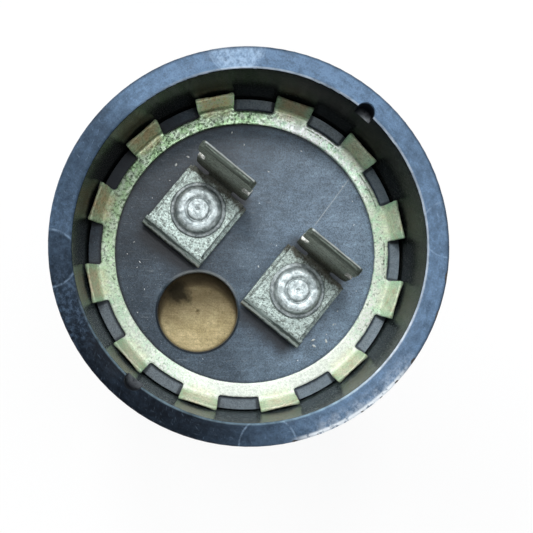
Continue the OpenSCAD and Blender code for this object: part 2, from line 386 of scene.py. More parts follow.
# a ragged lump, for what breaks off and for the places it leaves
def addLump(work, radius, stretch, turn, middle, rough, grain, shift):
    spin = Matrix.Rotation(turn, 3, "Z")
    for vertex in bmesh.ops.create_icosphere(work, subdivisions=2, radius=radius)["verts"]:
        ragged = 1.0 + rough * noise.noise(vertex.co * grain + shift)
        vertex.co = spin @ (vertex.co * stretch) * ragged + middle


def finishPiece(piece, nodeName=None):
    piece.data.transform(Matrix.Scale(mm, 4))
    piece.data.update()
    if nodeName:
        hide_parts(nodeName)
    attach(piece, "root")


# Case: the moulded shell, with its scuffed skin, its inner wall and the chips in its edge

caseLook = {
    # the rim's skin
    "dark": (0.0035, 0.0055, 0.009), "sheenBlue": (0.142, 0.23, 0.36), "scuff": (0.38, 0.52, 0.70),
    "clouds": (0.8, 0.3, 0.7, 6.0, 0.7), "mottle": (2.4, 0.3, 0.72, 5.0, 0.72), "drawn": (13.0, 2.4, 0.36, 0.68),
    "sheenSide": (48.0, -0.98, -0.28), "sheenFadeSide": (154.0, 0.9, 0.985), "sheenBoostSide": (88.0, 0.5, 0.95),
    "handledSide": (186.0, 0.86, 0.97), "handled": (2.1, 0.44, 0.64, 6.0, 0.76),
    "fineAround": (18.0, 7.0, 0.62, 0.74), "fineSteep": (62, 1.4, 8.0, 0.62, 0.76),
    "fineFlat": (15, 1.2, 7.0, 0.64, 0.76), "rimTop": (69.45, 69.7),
    # ejector pin marks
    "markTurn": 43.5, "markPitch": 90.0, "markRadius": 2.6, "markLine": (0.14, 0.02), "markSoft": 0.25,
    "markBreaks": (1.0, 0.36, 0.66, 5.0, 0.7), "darkMark": (184.5, 0.9, 0.95),
    "scrapedMark": (94.5, 0.94, 0.97), "scrapedSoft": 0.3, "scrapes": (2.5, 0.3, 0.65, 5.0, 0.7),
    # the rim's two edges
    "line": (0.74, 0.80, 0.86), "lowLine": (0.36, 0.52, 0.62), "innerEdge": (16.38, 16.24),
    "edgeSide": (20.0, -0.5, 0.35), "lowEdgeSide": (250.0, 0.5, 0.85), "lowLineSide": (250.0, 0.3, 0.8),
    "brightSide": (306.0, 0.8, 0.95), "turnedEdge": (17.85, 18.2), "turnedSide": (48.0, -0.3, 0.3),
    "wornBand": (16.6, 17.9), "wornSide": (306.0, 0.93, 0.985), "wornBreaks": (1.2, 0.38, 0.68, 6.0, 0.74),
    "bare": (0.82, 0.86, 0.90), "bareBand": (17.76, 18.0), "bareSide": (302.0, 0.93, 0.98),
    "bareBreaks": (1.4, 0.34, 0.5, 4.0, 0.7),
    # notches
    "notchHeight": (60.0, 62.0), "notchRadius": (17.7, 17.3), "openNotch": (57.0, -0.5, 0.5),
    "ledgeRadius": (17.1, 16.4), "ledgeReach": (-45.0, -2.1, -0.5),
    "ledgeDustAndLight": (0.36, 0.39, 0.42), "ledgeGrain": (2.0, 0.2, 0.6),
    # the outside of the can
    "side": (0.008, 0.0085, 0.010), "sideGrey": (0.13, 0.14, 0.155), "sideFrom": 18.24, "sideBelow": 18.24,
    "sideHandled": (0.1, 0.35, 0.7, 5.0, 0.6), "sideRubbed": (1.8, 0.5, 0.72, 6.0, 0.72),
    "sideFlat": (12, 0.15, 5.0, 0.68, 0.78), "sideSteep": (75, 0.3, 4.0, 0.7, 0.8),
    # the wall above the deck
    "mouth": 16.17, "wall": (0.004, 0.005, 0.0045), "wallDustAndSheen": (0.14, 0.185, 0.195),
    "dustAndSheenSide": (258.0, -0.2, 0.75), "grit": (5.5, 0.46, 0.66, 3.0, 0.7), "wallCloud": (0.9, 0.35, 0.7, 4.0, 0.6),
    "wallGrit": (0.17, 0.19, 0.16), "gritSide": (340.0, 0.3, 0.85), "coarseGrit": (3.4, 0.54, 0.66, 3.0, 0.7),
    # chips
    "broken": (0.022, 0.018, 0.016), "brokenPale": (0.10, 0.09, 0.08), "brokenGrain": (6.0, 0.4, 0.7, 4.0, 0.65),
    "outer": 18.25, "chipAngles": (-78, -71, -63, -57, -49, -44, -38, -31, -22, -9, 14, 77, 149, 171, 203, 251),
    "chipSize": (0.16, 0.34), "chipShift": 2.0, "chipOut": 0.1, "chipRise": (-0.1, 0.25),
    "chipStretch": ((0.7, 1.1), (1.0, 2.2), (0.6, 1.0)), "chipRough": 0.45, "chipGrain": 4.0, "seed": 11,
    "belts": (1.62, 58.8, 69.62), "hardEdge": 32.0,
}


# distance from the middle of the nearest ejector pin mark on the rim
def pinMarkDistance(place):
    turn = calc("RADIANS", fromNearest(place, caseLook["markTurn"], caseLook["markPitch"]))
    dx = minus(times(place["Radius"], calc("COSINE", turn)), caseLook["outer"])
    return hypot(dx, times(place["Radius"], calc("SINE", turn)))


# the outside of the can: black, rubbed grey in places
def sideColour(place):
    look = caseLook
    handled = patches(place, look["sideHandled"])
    colour = layer(look["side"], look["sideGrey"], handled, patches(place, look["sideRubbed"]), 0.22)
    lines = larger(scratches(place, look["sideFlat"]), scratches(place, look["sideSteep"]))
    return layer(colour, look["scuff"], lines, handled, 0.22)


def makeCaseMaterial():
    look = caseLook
    material, shader, place = startMaterial("casePhenolic")
    point, radius = place["Point"], place["Radius"]
    clouds, mottle = patches(place, look["clouds"]), patches(place, look["mottle"])
    drawn = streaks(place, look["drawn"])
    grain = between(noiseAt(point, 6.0, 4.0, 0.75), 0.3, 0.7, 0.8, 1.2)
    # a bluish painted reflection on one side, fine rubbing marks on the other
    sheenMask = times(facing(place, look["sheenSide"]), minus(1.0, times(facing(place, look["sheenFadeSide"]), 0.56)))
    cover = plus(plus(0.4, times(clouds, 0.3)), plus(times(mottle, 0.14), times(drawn, 0.2)))
    cover = times(sheenMask, grain, cover, span(facing(place, look["sheenBoostSide"]), 0.95, 1.2))
    rubbedAndGlint = times(minus(1.0, sheenMask), clouds, plus(times(mottle, 0.05), times(drawn, 0.04)))
    rim = tint(calc("ADD", cover, rubbedAndGlint, True), look["dark"], look["sheenBlue"])
    # a handled stretch, mottled in the painted reflection's colour and finely scratched
    rim = layer(rim, look["sheenBlue"], facing(place, look["handledSide"]), patches(place, look["handled"]), 0.27)
    fine = larger(streaks(place, look["fineAround"]),
                  larger(scratches(place, look["fineSteep"]), scratches(place, look["fineFlat"])))
    rim = layer(rim, look["scuff"], fine, mottle, span(sheenMask, 0.15, 0.34))
    # pale outlines of the ejector pins, one of them dark inside and one scraped
    fromMark, markRadius = pinMarkDistance(place), look["markRadius"]
    arc = between(absolute(minus(fromMark, markRadius)), *look["markLine"])
    rim = layer(rim, look["scuff"], arc, patches(place, look["markBreaks"]), 0.4)
    inside = between(fromMark, markRadius, markRadius - look["markSoft"])
    rim = layer(rim, look["dark"], inside, facing(place, look["darkMark"]), 0.45)
    scraped = between(fromMark, markRadius, markRadius - look["scrapedSoft"])
    rim = layer(rim, look["scuff"], scraped, facing(place, look["scrapedMark"]),
                patches(place, look["scrapes"]), 0.75)
    # a painted highlight over rubbing along the inner edge, strongest on one side; the outer edge is darker on one
    # side, rubbed and worn bare
    lined = larger(facing(place, look["edgeSide"]), times(facing(place, look["lowEdgeSide"]), 0.7))
    inner = times(between(radius, *look["innerEdge"]), plus(0.35, times(clouds, 0.6)), lined)
    bright = plus(0.6, times(facing(place, look["brightSide"]), 0.4))
    line = tint(facing(place, look["lowLineSide"]), look["line"], look["lowLine"])
    rim = layer(rim, line, inner, bright)
    rim = layer(rim, look["dark"], between(radius, *look["turnedEdge"]), facing(place, look["turnedSide"]), 0.7)
    rim = layer(rim, look["line"], between(radius, *look["wornBand"]), patches(place, look["wornBreaks"]),
                facing(place, look["wornSide"]), 0.42)
    rim = layer(rim, look["bare"], between(radius, *look["bareBand"]), patches(place, look["bareBreaks"]),
                facing(place, look["bareSide"]), 0.85)
    # the notches are painted dark as shade, with dust on their floors that is painted paler where light reaches
    # them
    inNotch = times(between(place["Height"], *look["notchHeight"]), between(radius, *look["notchRadius"]))
    side = tint(inNotch, sideColour(place), look["dark"])
    paintedLight = times(between(radius, *look["ledgeRadius"]), reaching(place, look["ledgeReach"]),
                  span(facing(place, look["openNotch"]), 0.32, 1.0))
    side = layer(side, look["ledgeDustAndLight"], inNotch, paintedLight, dustAndHighlight(place, look["ledgeGrain"]))
    colour = tint(between(place["Height"], *look["rimTop"]), side, rim)
    height = plus(noiseAt(point, 2.5, 5.0, 0.6), times(fine, -0.4))
    dress(shader, colour, span(clouds, 0.28, 0.4), height, 0.02, {"IOR": 1.16})
    return material


def makeSideMaterial():
    material, shader, place = startMaterial("caseSide")
    rough = between(noiseAt(place["Point"], 0.6, 5.0, 0.65), 0.3, 0.7, 0.26, 0.46)
    dress(shader, sideColour(place), rough, noiseAt(place["Point"], 1.2, 5.0, 0.6), 0.03, {"IOR": 1.5})
    return material


def makeWallMaterial():
    look = caseLook
    material, shader, place = startMaterial("caseWall")
    grit, cloud = patches(place, look["grit"]), patches(place, look["wallCloud"])
    # a film of dust, thicker on one side, where it also stands in as painted reflection
    dustAndSheenAmount = plus(0.03, facing(place, look["dustAndSheenSide"]))
    dustAndSheen = times(dustAndSheenAmount, plus(0.3, times(grit, 0.5)), plus(0.45, times(cloud, 0.55)))
    colour = tint(dustAndSheen, look["wall"], look["wallDustAndSheen"])
    # coarser grit clings to the side across from the painted sheen
    colour = layer(colour, look["wallGrit"], patches(place, look["coarseGrit"]),
                   facing(place, look["gritSide"]), 0.3)
    dress(shader, colour, span(grit, 0.14, 0.3), noiseAt(place["Point"], 2.6, 4.0, 0.6), 0.006, {"IOR": 1.075})
    return material


def makeBrokenMaterial():
    material, shader, place = startMaterial("caseBroken")
    grain = patches(place, caseLook["brokenGrain"])
    dress(shader, tint(grain, caseLook["broken"], caseLook["brokenPale"]), 0.8, grain, 0.03)
    return material


# small ragged cutters along the outer edge of the rim
def makeChipCutter():
    look = caseLook
    draw = random.Random(look["seed"])
    work = bmesh.new()
    for angle in look["chipAngles"]:
        size = draw.uniform(*look["chipSize"])
        turn = pictureAngle(angle + draw.uniform(-look["chipShift"], look["chipShift"]))
        middle = outward(turn) * (look["outer"] + look["chipOut"] * size)
        middle.z = cadBox[1].z / mm + draw.uniform(*look["chipRise"]) * size
        stretch = Vector([draw.uniform(*limits) for limits in look["chipStretch"]])
        addLump(work, size, stretch, turn, middle, look["chipRough"], look["chipGrain"],
                Vector((angle, size, 0)))
    mesh = bpy.data.meshes.new("chipCutter")
    closeMesh(work, mesh)
    setMaterials(mesh, makeBrokenMaterial())
    return addObject("chipCutter", mesh)


def makeCase():
    look = caseLook
    case = copyOf("case", "caseShell")
    mesh = case.data
    # belts beside the rounded edges keep the long walls' shading straight
    work = openMesh(mesh)
    for height in look["belts"]:
        bmesh.ops.bisect_plane(work, geom=work.verts[:] + work.edges[:] + work.faces[:], dist=1e-5,
                               plane_co=(0, 0, height), plane_no=(0, 0, 1))
    closeMesh(work, mesh)
    setMaterials(mesh, makeCaseMaterial(), makeWallMaterial(), makeSideMaterial())
    for face in mesh.polygons:
        corners = [mesh.vertices[i].co for i in face.vertices]
        reach = [corner.xy.length for corner in corners]
        onWall = max(reach) < look["mouth"]
        onSide = min(reach) > look["sideFrom"] or max(corner.z for corner in corners) < look["sideBelow"]
        face.material_index = 1 if onWall else 2 if onSide else 0
    cutter = makeChipCutter()
    cut = case.modifiers.new("chips", "BOOLEAN")
    cut.operation, cut.solver, cut.object, cut.material_mode = "DIFFERENCE", "EXACT", cutter, "TRANSFER"
    mesh = applyModifiers(case)
    bpy.data.objects.remove(cutter)
    shadeByAngle(mesh, look["hardEdge"])
    finishPiece(case, "case")


makeCase()
print("case built")


# Deck

deckLook = {
    "dark": (0.050, 0.076, 0.106), "pale": (0.092, 0.130, 0.172), "clouds": (0.4, 0.3, 0.7, 6.0, 0.65),
    "dustAndSheen": (0.20, 0.285, 0.38), "dustAndSheenReach": (1.0, -3.0, 14.0), "dustAndSheenPatches": (0.6, 0.2, 0.8, 5.0, 0.7),
    "litReach": (1.0, -13.0, 12.0), "smears": (-39, 0.5, 2.6, 0.38, 0.66),
    "dustAndHighlight": (0.62, 0.66, 0.68), "specks": (6.0, 0.64, 0.73, 3.0, 0.65),
    # the long scratch, nearly along +Y, and the hair lines
    "scratchX": 3.58, "scratchLean": 0.042, "scratchMid": 9.8, "scratchEnd": (3.5, 2.7),
    "scratchWide": (0.08, 0.02), "hairs": (-39, 0.9, 6.0, 0.6, 0.74), "hairPatches": (0.5, 0.35, 0.6, 3.0, 0.55),
    # painted shade in the corners, and painted shadow before and behind the terminals
    "dirtAndShade": (0.010, 0.012, 0.016), "corners": (1.3, 1.5, 0.8, 0.3), "cornerReach": (150.0, -6.0, 13.0, 0.12, 0.95),
    "shadowStray": (1.0, 3.0, 0.6, 1.0), "shadowAcross": (4.2, 2.6), "frontFrom": (-7.0, -4.9),
    "frontTo": (-2.0, -3.0), "behindFrom": (1.6, 2.6), "behindTo": (4.9, 4.2),
    # around the vent
    "ventPale": (4.4, 4.18), "ventPaleReach": (75.0, -5.5, -3.0), "ventBreaks": (1.2, 0.25, 0.5, 3.0, 0.55),
    "ventDark": (4.36, 4.24), "ventDarkReach": (75.0, -6.0, -8.0),
    "paintedLightRadius": (5.0, 9.5), "paintedLightTones": ((218, 38, 1.45),),
    # the margin outside the ring, and the painted shadow lines beside the ring
    "margin": (14.79, 15.09), "marginDustAndLight": (0.275, 0.315, 0.335), "marginSide": (142.0, 0.9, 0.35),
    "marginTones": ((72, 34, 2.15), (327, 14, 1.65), (147, 14, 0.5), (177, 14, 0.78), (267, 14, 0.84)),
    "bareSide": (142.0, 0.86, 0.98), "tabShade": (1.5, 0.8),
    "outsideFrom": (14.49, 14.59), "outsideTo": (15.04, 14.84),
    "insideFrom": (12.93, 13.29), "insideTo": (13.69, 13.49), "insideReach": (150.0, -13.0, 8.0, 0.45, 0.85),
}


def makeDeckMaterial():
    look = deckLook
    material, shader, place = startMaterial("deckLaminate")
    point, radius, x, y = place["Point"], place["Radius"], place["X"], place["Y"]
    colour = tint(patches(place, look["clouds"]), look["dark"], look["pale"])
    # a film of dust that is also painted sheen, thicker towards one side, and the deck painted lighter towards one
    # side as painted light
    colour = layer(colour, look["dustAndSheen"], reaching(place, look["dustAndSheenReach"]),
                   patches(place, look["dustAndSheenPatches"]), 0.62)
    grain = noiseAt(point, 8.0, 3.0, 0.75)
    lit = span(reaching(place, look["litReach"]), 0.5, 1.54)
    colour = level(colour, times(between(grain, 0.28, 0.72, 0.5, 1.5), lit))
    colour = level(colour, span(scratches(place, look["smears"]), 0.92, 1.1))
    colour = layer(colour, look["dustAndHighlight"], patches(place, look["specks"]), 0.32)
    # one long scratch and some hair lines
    along = minus(y, look["scratchMid"])
    off = plus(minus(x, look["scratchX"]), times(along, look["scratchLean"]))
    line = times(between(absolute(off), *look["scratchWide"]), between(absolute(along), *look["scratchEnd"]))
    hairs = times(scratches(place, look["hairs"]), patches(place, look["hairPatches"]))
    colour = tint(larger(times(line, 0.4), times(hairs, 0.1)), colour, look["dustAndHighlight"])
    # painted shade in the corners, stronger on one side, and painted shadow strips before and behind the folded
    # terminals
    corners = times(grimeAndShade(place, look["corners"]), reaching(place, look["cornerReach"]))
    across = absolute(minus(absolute(x), layout["rivetX"]))
    strayed = stray(y, point, *look["shadowStray"])
    inFront = times(between(strayed, *look["frontFrom"]), between(y, *look["frontTo"]))
    behind = times(between(strayed, *look["behindFrom"]), between(strayed, *look["behindTo"]))
    paintedShadow = times(between(across, *look["shadowAcross"]), larger(inFront, behind), 0.92)
    colour = tint(larger(corners, paintedShadow), colour, look["dirtAndShade"])
    # the vent hole's edge carries a painted highlight on one side and is darker on the other
    fromVent = distanceTo(place, *layout["ventAt"])
    colour = layer(colour, look["dustAndHighlight"], between(fromVent, *look["ventPale"]),
                   reaching(place, look["ventPaleReach"]), patches(place, look["ventBreaks"]), 0.55)
    colour = layer(colour, look["dirtAndShade"], between(fromVent, *look["ventDark"]),
                   reaching(place, look["ventDarkReach"]), 0.8)
    # the deck is painted paler beside the vent on one side, as painted light
    paintedLight = level(colour, toneAround(place, look["paintedLightTones"]))
    colour = tint(between(radius, *look["paintedLightRadius"]), colour, paintedLight)
    # dust on the margin outside the ring, painted lighter and darker by angle as painted light and shade, none on
    # the side that is painted dark as shade
    margin = between(radius, *look["margin"])
    marginDustAndLight = level(look["marginDustAndLight"], toneAround(place, look["marginTones"]))
    colour = layer(colour, marginDustAndLight, margin, facing(place, look["marginSide"]),
                   between(grain, 0.3, 0.7, 0.3, 0.75))
    colour = layer(colour, look["dirtAndShade"], margin, facing(place, look["bareSide"]), 0.8)
    # painted shadow lines where the ring and its tabs stand on the deck
    fromTab = minus(tabAngle(place), ringLook["tabHalf"])
    underTab = times(between(fromTab, *look["tabShade"]), margin)
    outside = times(between(radius, *look["outsideTo"]), between(radius, *look["outsideFrom"]))
    colour = layer(colour, look["dirtAndShade"], larger(underTab, outside), 0.7)
    colour = layer(colour, look["dirtAndShade"], between(radius, *look["insideFrom"]), between(radius, *look["insideTo"]),
                   reaching(place, look["insideReach"]))
    rough = between(grain, 0.3, 0.7, 0.3, 0.42)
    dress(shader, colour, rough, noiseAt(point, 5.0, 4.0, 0.65), 0.02, {"IOR": 1.38})
    return material


# Vent disc

ventLook = {
    "tan": (0.72, 0.60, 0.34), "brown": (0.50, 0.40, 0.21), "clouds": (0.6, 0.3, 0.7, 5.0, 0.65),
    "fibre": (0.30, 0.235, 0.11), "fibreLong": (-39, 0.6, 6.0, 0.45, 0.75),
    "fibreCross": (-14, 0.9, 7.0, 0.5, 0.72),
    "stainAndShade": (0.05, 0.035, 0.018), "spots": (3.0, 0.58, 0.74, 4.0, 0.68), "rimSoft": 0.3, "middle": (0.36, 0.2),
    "middleBreaks": (3.0, 0.35, 0.6, 3.0, 0.55), "shadowReach": (97.0, -8.0, -3.6),
    "litMiddle": (0.82, -8.74), "litRadius": (3.7, 4.2), "blot": (0.014, 0.011, 0.005), "blotAt": (-2.7, -7.55),
    "blotRadius": (2.6, 1.55), "blotRagged": 2.0,
}


def makeVentMaterial():
    look = ventLook
    material, shader, place = startMaterial("ventFibre")
    point = place["Point"]
    colour = tint(patches(place, look["clouds"]), look["brown"], look["tan"])
    fibres = larger(scratches(place, look["fibreLong"]), scratches(place, look["fibreCross"]))
    colour = layer(colour, look["fibre"], fibres, 0.4)
    colour = layer(colour, look["stainAndShade"], patches(place, look["spots"]), 0.45)
    colour = level(colour, between(noiseAt(point, 7.0, 3.0, 0.7), 0.3, 0.7, 0.8, 1.16))
    # dark at the rim, with stain and painted shade where the hole's edge meets the disc, and dark in the middle
    fromMiddle, reach = distanceTo(place, *layout["ventAt"]), layout["ventRadius"]
    middle = times(between(fromMiddle, *look["middle"]), patches(place, look["middleBreaks"]), 0.6)
    rimmed = larger(between(fromMiddle, reach - look["rimSoft"], reach), middle)
    colour = layer(colour, look["stainAndShade"], rimmed, 0.6)
    # painted shadow on one side and under the edge of the hole, in the shape of a crescent
    colour = layer(colour, look["stainAndShade"], reaching(place, look["shadowReach"]), 0.74)
    crescent = between(distanceTo(place, *look["litMiddle"]), *look["litRadius"])
    colour = layer(colour, look["stainAndShade"], crescent, 0.75)
    soaked = plus(distanceTo(place, *look["blotAt"]), times(noiseAt(point, 0.9, 4.0, 0.6), look["blotRagged"]))
    colour = layer(colour, look["blot"], between(soaked, *look["blotRadius"]), 0.92)
    dress(shader, colour, 0.7, noiseAt(point, 5.0, 5.0, 0.7), 0.03, {"IOR": 1.2})
    return material


# Retaining ring

ringLook = {
    # band
    "green": (0.48, 0.70, 0.40), "cream": (0.89, 0.945, 0.85), "denseReach": (108.0, -13.0, 11.0),
    "creamPatches": (1.6, 0.4, 0.62, 4.0, 0.65), "speck": (0.07, 0.12, 0.055),
    "white": (0.93, 0.97, 0.92), "highlightSide": (52.0, 0.8, 0.96), "rubbedAndGlint": (1.6, 0.28, 0.46, 5.0, 0.7),
    "mint": (0.46, 0.80, 0.53), "mintSide": (24.0, 0.25, 0.75), "lowMintSide": (213.0, 0.75, 0.95),
    "stains": (1.3, 0.48, 0.6, 5.0, 0.74), "flecks": (2.9, 0.565, 0.64, 4.0, 0.74),
    "lineAt": 14.28, "lineWide": 0.13, "lineClear": 1.0, "lineBreaks": (1.2, 0.4, 0.56, 4.0, 0.7),
    "bandTones": ((150, 30, 0.78), (75, 30, 1.2), (330, 16, 1.1), (240, 16, 1.14)),
    # tabs
    "tabTurn": 21.0, "tabPitch": 30.0, "tabHalf": 7.15, "tabFrom": 0.55, "tabFull": 1.1, "tabSide": 0.45,
    "tan": (0.83, 0.82, 0.62), "brown": (0.62, 0.49, 0.28), "brownSide": (128.0, 0.0, 0.8),
    "brownPatches": (1.4, 0.48, 0.66, 5.0, 0.66),
    "edge": (0.55, 0.74, 0.48), "edgePatches": (1.1, 0.42, 0.6, 5.0, 0.68),
    "fresh": (0.87, 0.99, 0.75), "freshSide": (5.0, 0.6, 0.9), "rootRadius": (13.9, 14.8), "rootSide": (0.4, -2.4),
    "tabTones": ((102, 16, 2.2), (72, 14, 0.6), (207, 28, 0.9), (342, 22, 1.12)),
    # both
    "dirtAndShade": (0.10, 0.10, 0.06), "grimeAndShade": (0.5, 2.5, 0.6, 0.2), "metalReach": (88.0, 3.0, 11.0), "dishRadius": 14.0,
    # mesh
    "filletFrom": 6.9, "filletAt": 14.6, "filletSize": 0.21, "thick": 0.45,
    "voxel": 0.1, "soften": 2, "rough": 0.02, "seed": 14.0,
}


# angle from the middle of the nearest tab
def tabAngle(place):
    return absolute(fromNearest(place, ringLook["tabTurn"], ringLook["tabPitch"]))


def makeRingMaterial():
    look = ringLook
    material, shader, place = startMaterial("ringZinc")
    point, radius, tabHalf = place["Point"], place["Radius"], look["tabHalf"]
    dense = reaching(place, look["denseReach"])
    band = tint(dense, look["cream"], look["green"])
    band = layer(band, look["cream"], patches(place, look["creamPatches"]), 0.55)
    # dark specks, and a painted highlight where the band is nearly white
    highlightSide = facing(place, look["highlightSide"])
    cut = plus(span(dense, 0.78, 0.54), times(highlightSide, 0.05))
    specks = between(minus(noiseAt(point, 3.3, 3.0, 0.66), cut), -0.08, 0.1)
    band = layer(band, look["speck"], specks, 0.85)
    band = layer(band, look["white"], highlightSide, patches(place, look["rubbedAndGlint"]), 0.8)
    # the bright side is stained mint green and flecked with black, with a dark line near its outer edge
    brightSide = facing(place, look["mintSide"])
    mintSide = larger(brightSide, times(facing(place, look["lowMintSide"]), 0.55))
    band = layer(band, look["mint"], mintSide, patches(place, look["stains"]), 0.55)
    band = layer(band, look["speck"], mintSide, patches(place, look["flecks"]), 0.8)
    fromMid = tabAngle(place)
    onLine = between(absolute(minus(radius, look["lineAt"])), look["lineWide"], 0.0)
    clearOfTab = between(fromMid, tabHalf - look["lineClear"], tabHalf + look["lineClear"])
    band = layer(band, look["speck"], onLine, brightSide, clearOfTab, patches(place, look["lineBreaks"]), 0.8)
    # tabs: tan to brown, greenish at their sides
    side = between(fromMid, tabHalf * look["tabSide"], tabHalf)
    tab = tint(facing(place, look["brownSide"]), look["tan"], look["brown"])
    tab = layer(tab, look["edge"], side, 0.85)
    tab = layer(tab, look["fresh"], facing(place, look["freshSide"]), 0.75)
    tab = layer(tab, look["edge"], patches(place, look["edgePatches"]), 0.6)
    tab = layer(tab, look["mint"], mintSide, side, 0.6)
    tab = layer(tab, look["brown"], patches(place, look["brownPatches"]), 0.5)
    # the band is painted lighter and darker by angle as painted light and shade, and the tabs' colour runs a
    # little way onto the band
    band = level(band, toneAround(place, look["bandTones"]))
    atRoot = between(fromMid, *(tabHalf + shift for shift in look["rootSide"]))
    band = layer(band, tab, between(radius, *look["rootRadius"]), atRoot, 0.6)
    tab = layer(tab, look["speck"], specks, 0.4)
    # the tabs are painted lighter and darker by angle, as painted light and shade
    tab = level(tab, times(toneAround(place, look["tabTones"]), 0.9))
    onTab = between(place["Height"], deckTop + look["tabFrom"], deckTop + look["tabFull"])
    colour = level(tint(onTab, band, tab), between(noiseAt(point, 6.0, 4.0, 0.75), 0.3, 0.7, 0.74, 1.2))
    # painted shade in the corners
    colour = layer(colour, look["dirtAndShade"], grimeAndShade(place, look["grimeAndShade"]), 0.45)
    # the zinc is bright where the pale film is thin
    bare = times(reaching(place, look["metalReach"]), between(onTab, 0.6, 0.0))
    feed(shader.inputs["Metallic"], span(bare, 0.2, 0.9))
    rough = plus(span(bare, 0.5, 0.3), times(specks, 0.2))
    # the highlighted stretch is dished a little
    dished = times(minus(radius, look["dishRadius"]), highlightSide, 3.2)
    dress(shader, colour, rough, plus(noiseAt(point, 5.0, 3.0, 0.6), dished), 0.02, {"IOR": 1.4})
    return material


# small fillets that close the corners beside each tab
def addCornerFillets(piece):
    look = ringLook
    work = openMesh(piece.data)
    gap = look["tabPitch"] / 2 - look["filletFrom"]
    for tab in range(round(360 / look["tabPitch"])):
        for side in (-1, 1):
            turn = math.radians(look["tabTurn"] + look["tabPitch"] * (tab + 0.5) + side * gap)
            spot = outward(turn) * look["filletAt"]
            spot.z = deckTop + look["thick"] / 2
            bmesh.ops.create_cone(work, cap_ends=True, segments=12, radius1=look["filletSize"],
                                  radius2=look["filletSize"], depth=look["thick"], matrix=Matrix.Translation(spot))
    closeMesh(work, piece.data)


# Terminals, rivets and the crumbs of tin that came off them

tinLook = {
    "pale": (0.52, 0.62, 0.585), "grey": (0.20, 0.232, 0.214), "blotches": (2.4, 0.35, 0.56, 5.0, 0.75),
    "pairLightAndShade": (1.08, 0.88), "olive": (0.43, 0.46, 0.36), "bladeFrom": 2.9, "bladeFull": 3.6,
    "grimeAndShade": (0.022, 0.024, 0.019), "specks": (6.0, 0.48, 0.62, 3.0, 0.72), "corners": (0.7, 2.0, 0.72, 0.3),
    # the fold
    "strip": (0.24, 0.295, 0.275), "stretch": (0.3, 5.0, 5.0), "drawn": (1.0, 0.42, 0.62, 2.0, 0.5),
    "wave": (1.6, 5.0, 0.7, 0.4), "foldAt": (-3.72, -3.80), "lineAt": (-4.06, -4.14), "underAt": (-4.28, -4.38),
    # the blade
    "bright": (0.82, 0.88, 0.86), "topShade": (0.36, 0.36, 0.33), "endUp": (0.25, 0.6), "backEdge": (4.62, 4.72),
    "backTop": (68.5, 68.7), "worn": (0.18, 2.5, 0.04, 0.28),
    "glint": (0.80, 0.81, 0.77), "notchUp": (0.2, 0.5), "notchTop": (68.0, 67.6),
    "rubbedAndGlint": (1.7, 0.42, 0.55, 4.0, 0.7),
    # the bend below it
    "foot": (0.050, 0.043, 0.029), "ragged": (1.5, 4.0, 0.66, 2.2), "bend": (2.4, 3.1), "footFrom": (3.1, 3.4),
    "footTop": 11.6, "footFull": 6.6,
    # mesh
    "voxel": 0.085, "soften": 2, "rough": 0.03, "seed": 3.0,
}


def makeTinMaterial():
    look = tinLook
    material, shader, place = startMaterial("terminalTin")
    point, y, height = place["Point"], place["Y"], place["Height"]
    colour = tint(patches(place, look["blotches"]), look["grey"], look["pale"])
    # the left terminal is painted lighter and the right one darker, as painted light and shade
    colour = level(colour, pairTone(place, look["pairLightAndShade"]))
    bladeFrom, bladeFull = deckTop + look["bladeFrom"], deckTop + look["bladeFull"]
    upright = between(height, bladeFrom, bladeFull)
    colour = layer(colour, look["olive"], upright, 0.65)
    specks = patches(place, look["specks"])
    colour = layer(colour, look["grimeAndShade"], specks, 0.56)
    # the fold: a drawn strip painted darker as shade where it turns down, with a painted highlight along it and
    # painted shade below
    wave = stray(y, point, *look["wave"])
    drawn = patches({"Point": vectorMath("MULTIPLY", point, look["stretch"])[0]}, look["drawn"])
    strip = level(look["strip"], span(drawn, 0.4, 1.35))
    colour = tint(between(wave, *look["foldAt"]), colour, strip)
    colour = layer(colour, look["bright"], between(wave, *look["lineAt"]), 0.75)
    colour = layer(colour, look["grimeAndShade"], between(wave, *look["underAt"]), 0.85)
    # the blade is drawn along its width; its top is painted dark as shade, with a painted highlight along its back
    colour = layer(colour, look["foot"], upright, drawn, 0.52)
    colour = layer(colour, level(strip, look["topShade"]), upright, between(place["Up"], *look["endUp"]), 0.9)
    colour = layer(colour, look["bright"], between(y, *look["backEdge"]), between(height, *look["backTop"]), 0.85)
    # dirt and painted shade fill the bend below the blade, and the blade is painted darker towards its foot
    ragged = stray(y, point, *look["ragged"])
    inBend = times(between(ragged, *look["bend"]), between(height, bladeFull, bladeFrom))
    footHigh = between(plus(height, ragged), deckTop + look["footTop"], deckTop + look["footFull"])
    onFoot = times(between(y, *look["footFrom"]), footHigh)
    colour = layer(colour, look["foot"], larger(inBend, onFoot), 0.86)
    colour = layer(colour, look["bright"], edges(place, look["worn"]), 0.62)
    # painted shade in the corners
    colour = layer(colour, look["grimeAndShade"], grimeAndShade(place, look["corners"]), 0.85)
    # a painted highlight on the floors of the blade's notches
    onNotch = times(upright, between(place["Up"], *look["notchUp"]), between(height, *look["notchTop"]))
    colour = layer(colour, look["glint"], onNotch, span(patches(place, look["rubbedAndGlint"]), 0.3, 1.0))
    dress(shader, colour, span(specks, 0.34, 0.6), noiseAt(point, 6.0, 4.0, 0.7), 0.05,
          {"Metallic": 0.55, "IOR": 1.25})
    return material


